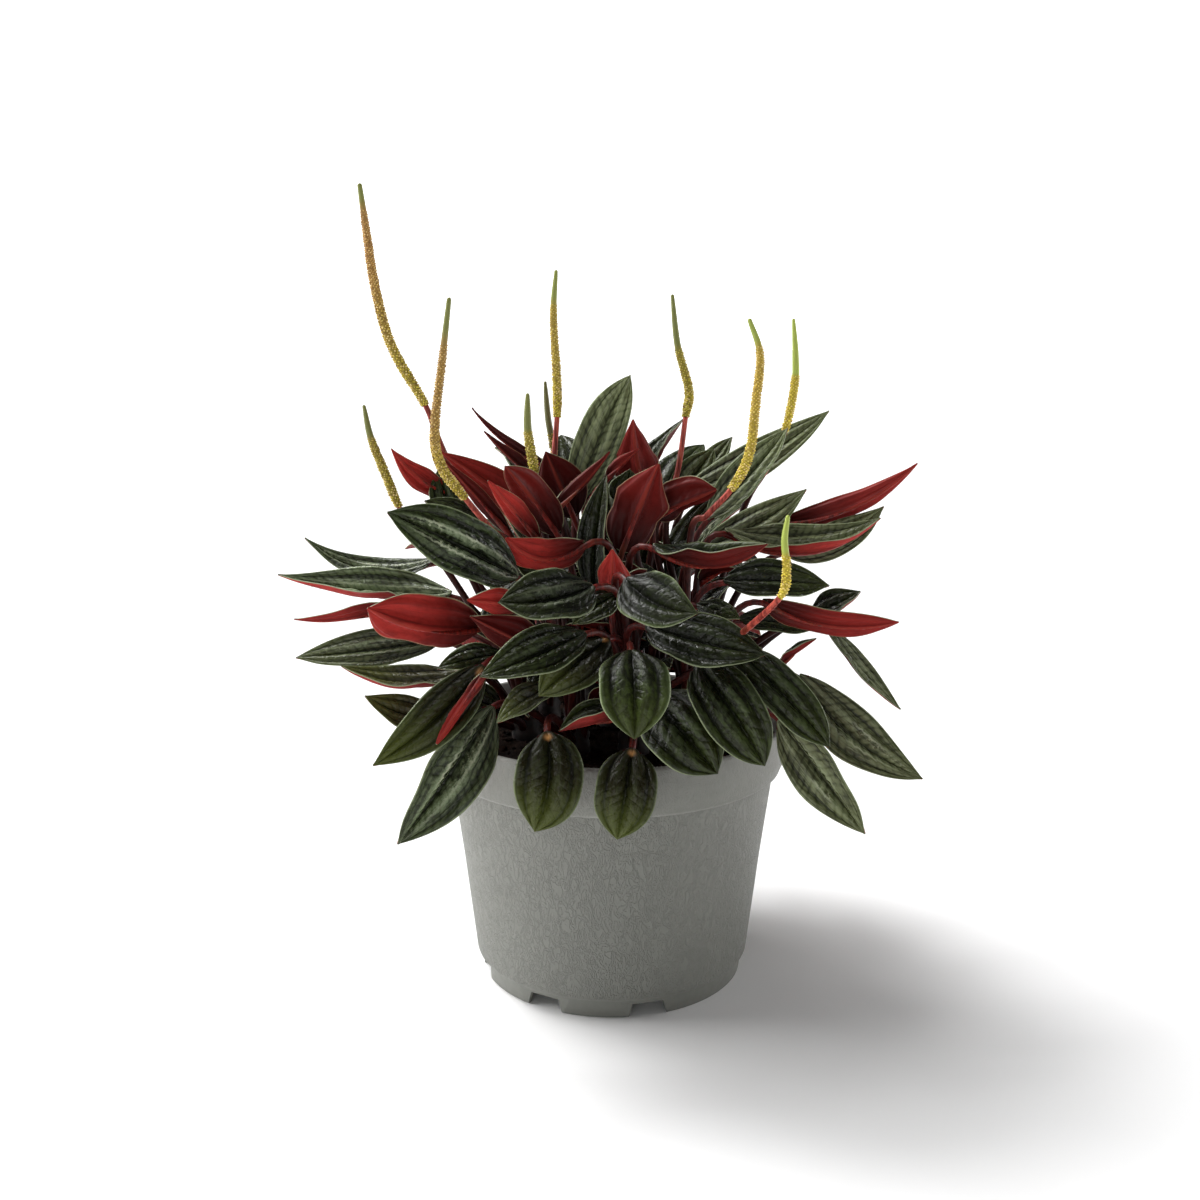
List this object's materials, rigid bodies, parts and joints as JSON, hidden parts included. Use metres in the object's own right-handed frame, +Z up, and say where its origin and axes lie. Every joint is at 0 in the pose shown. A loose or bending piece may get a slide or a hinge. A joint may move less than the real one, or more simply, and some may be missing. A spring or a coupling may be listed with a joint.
{
  "type": "potted ripple peperomia plant",
  "caption": "Ripple peperomia in a grey nursery pot: ribbed dark green leaves with wine red undersides and upright flower spikes.",
  "frame": {"origin": "centre of the pot's underside, where it rests on the ground", "axes": "+Z up along the pot's axis, -Y towards the front of the plant, +X to its right"},
  "size_m": [0.2229, 0.2116, 0.2745],
  "materials": {
    "pot": "grey-green moulded plastic with a fine leathery grain, satin",
    "soil": "dark brown fibrous peat, matt",
    "foliage": "waxy quilted leaf, dark green with silver ridges above and wine red below, on red stalks",
    "flower_spike": "yellow-green spike beaded with fine orange-brown florets, matt"
  },
  "bodies": {
    "root": {"pot": "pot", "soil": "soil", "rosette_centre": "foliage", "rosette_front": "foliage", "rosette_front_left": "foliage", "rosette_left_front": "foliage", "rosette_left_back": "foliage", "rosette_back_left": "foliage", "rosette_back_right": "foliage", "rosette_right": "foliage", "rosette_front_right": "foliage", "flower_spike_01": "flower_spike", "flower_spike_02": "flower_spike", "flower_spike_03": "flower_spike", "flower_spike_04": "flower_spike", "flower_spike_05": "flower_spike", "flower_spike_06": "flower_spike", "flower_spike_07": "flower_spike", "flower_spike_08": "flower_spike", "flower_spike_09": "flower_spike", "flower_spike_10": "flower_spike"}
  },
  "joints": []
}
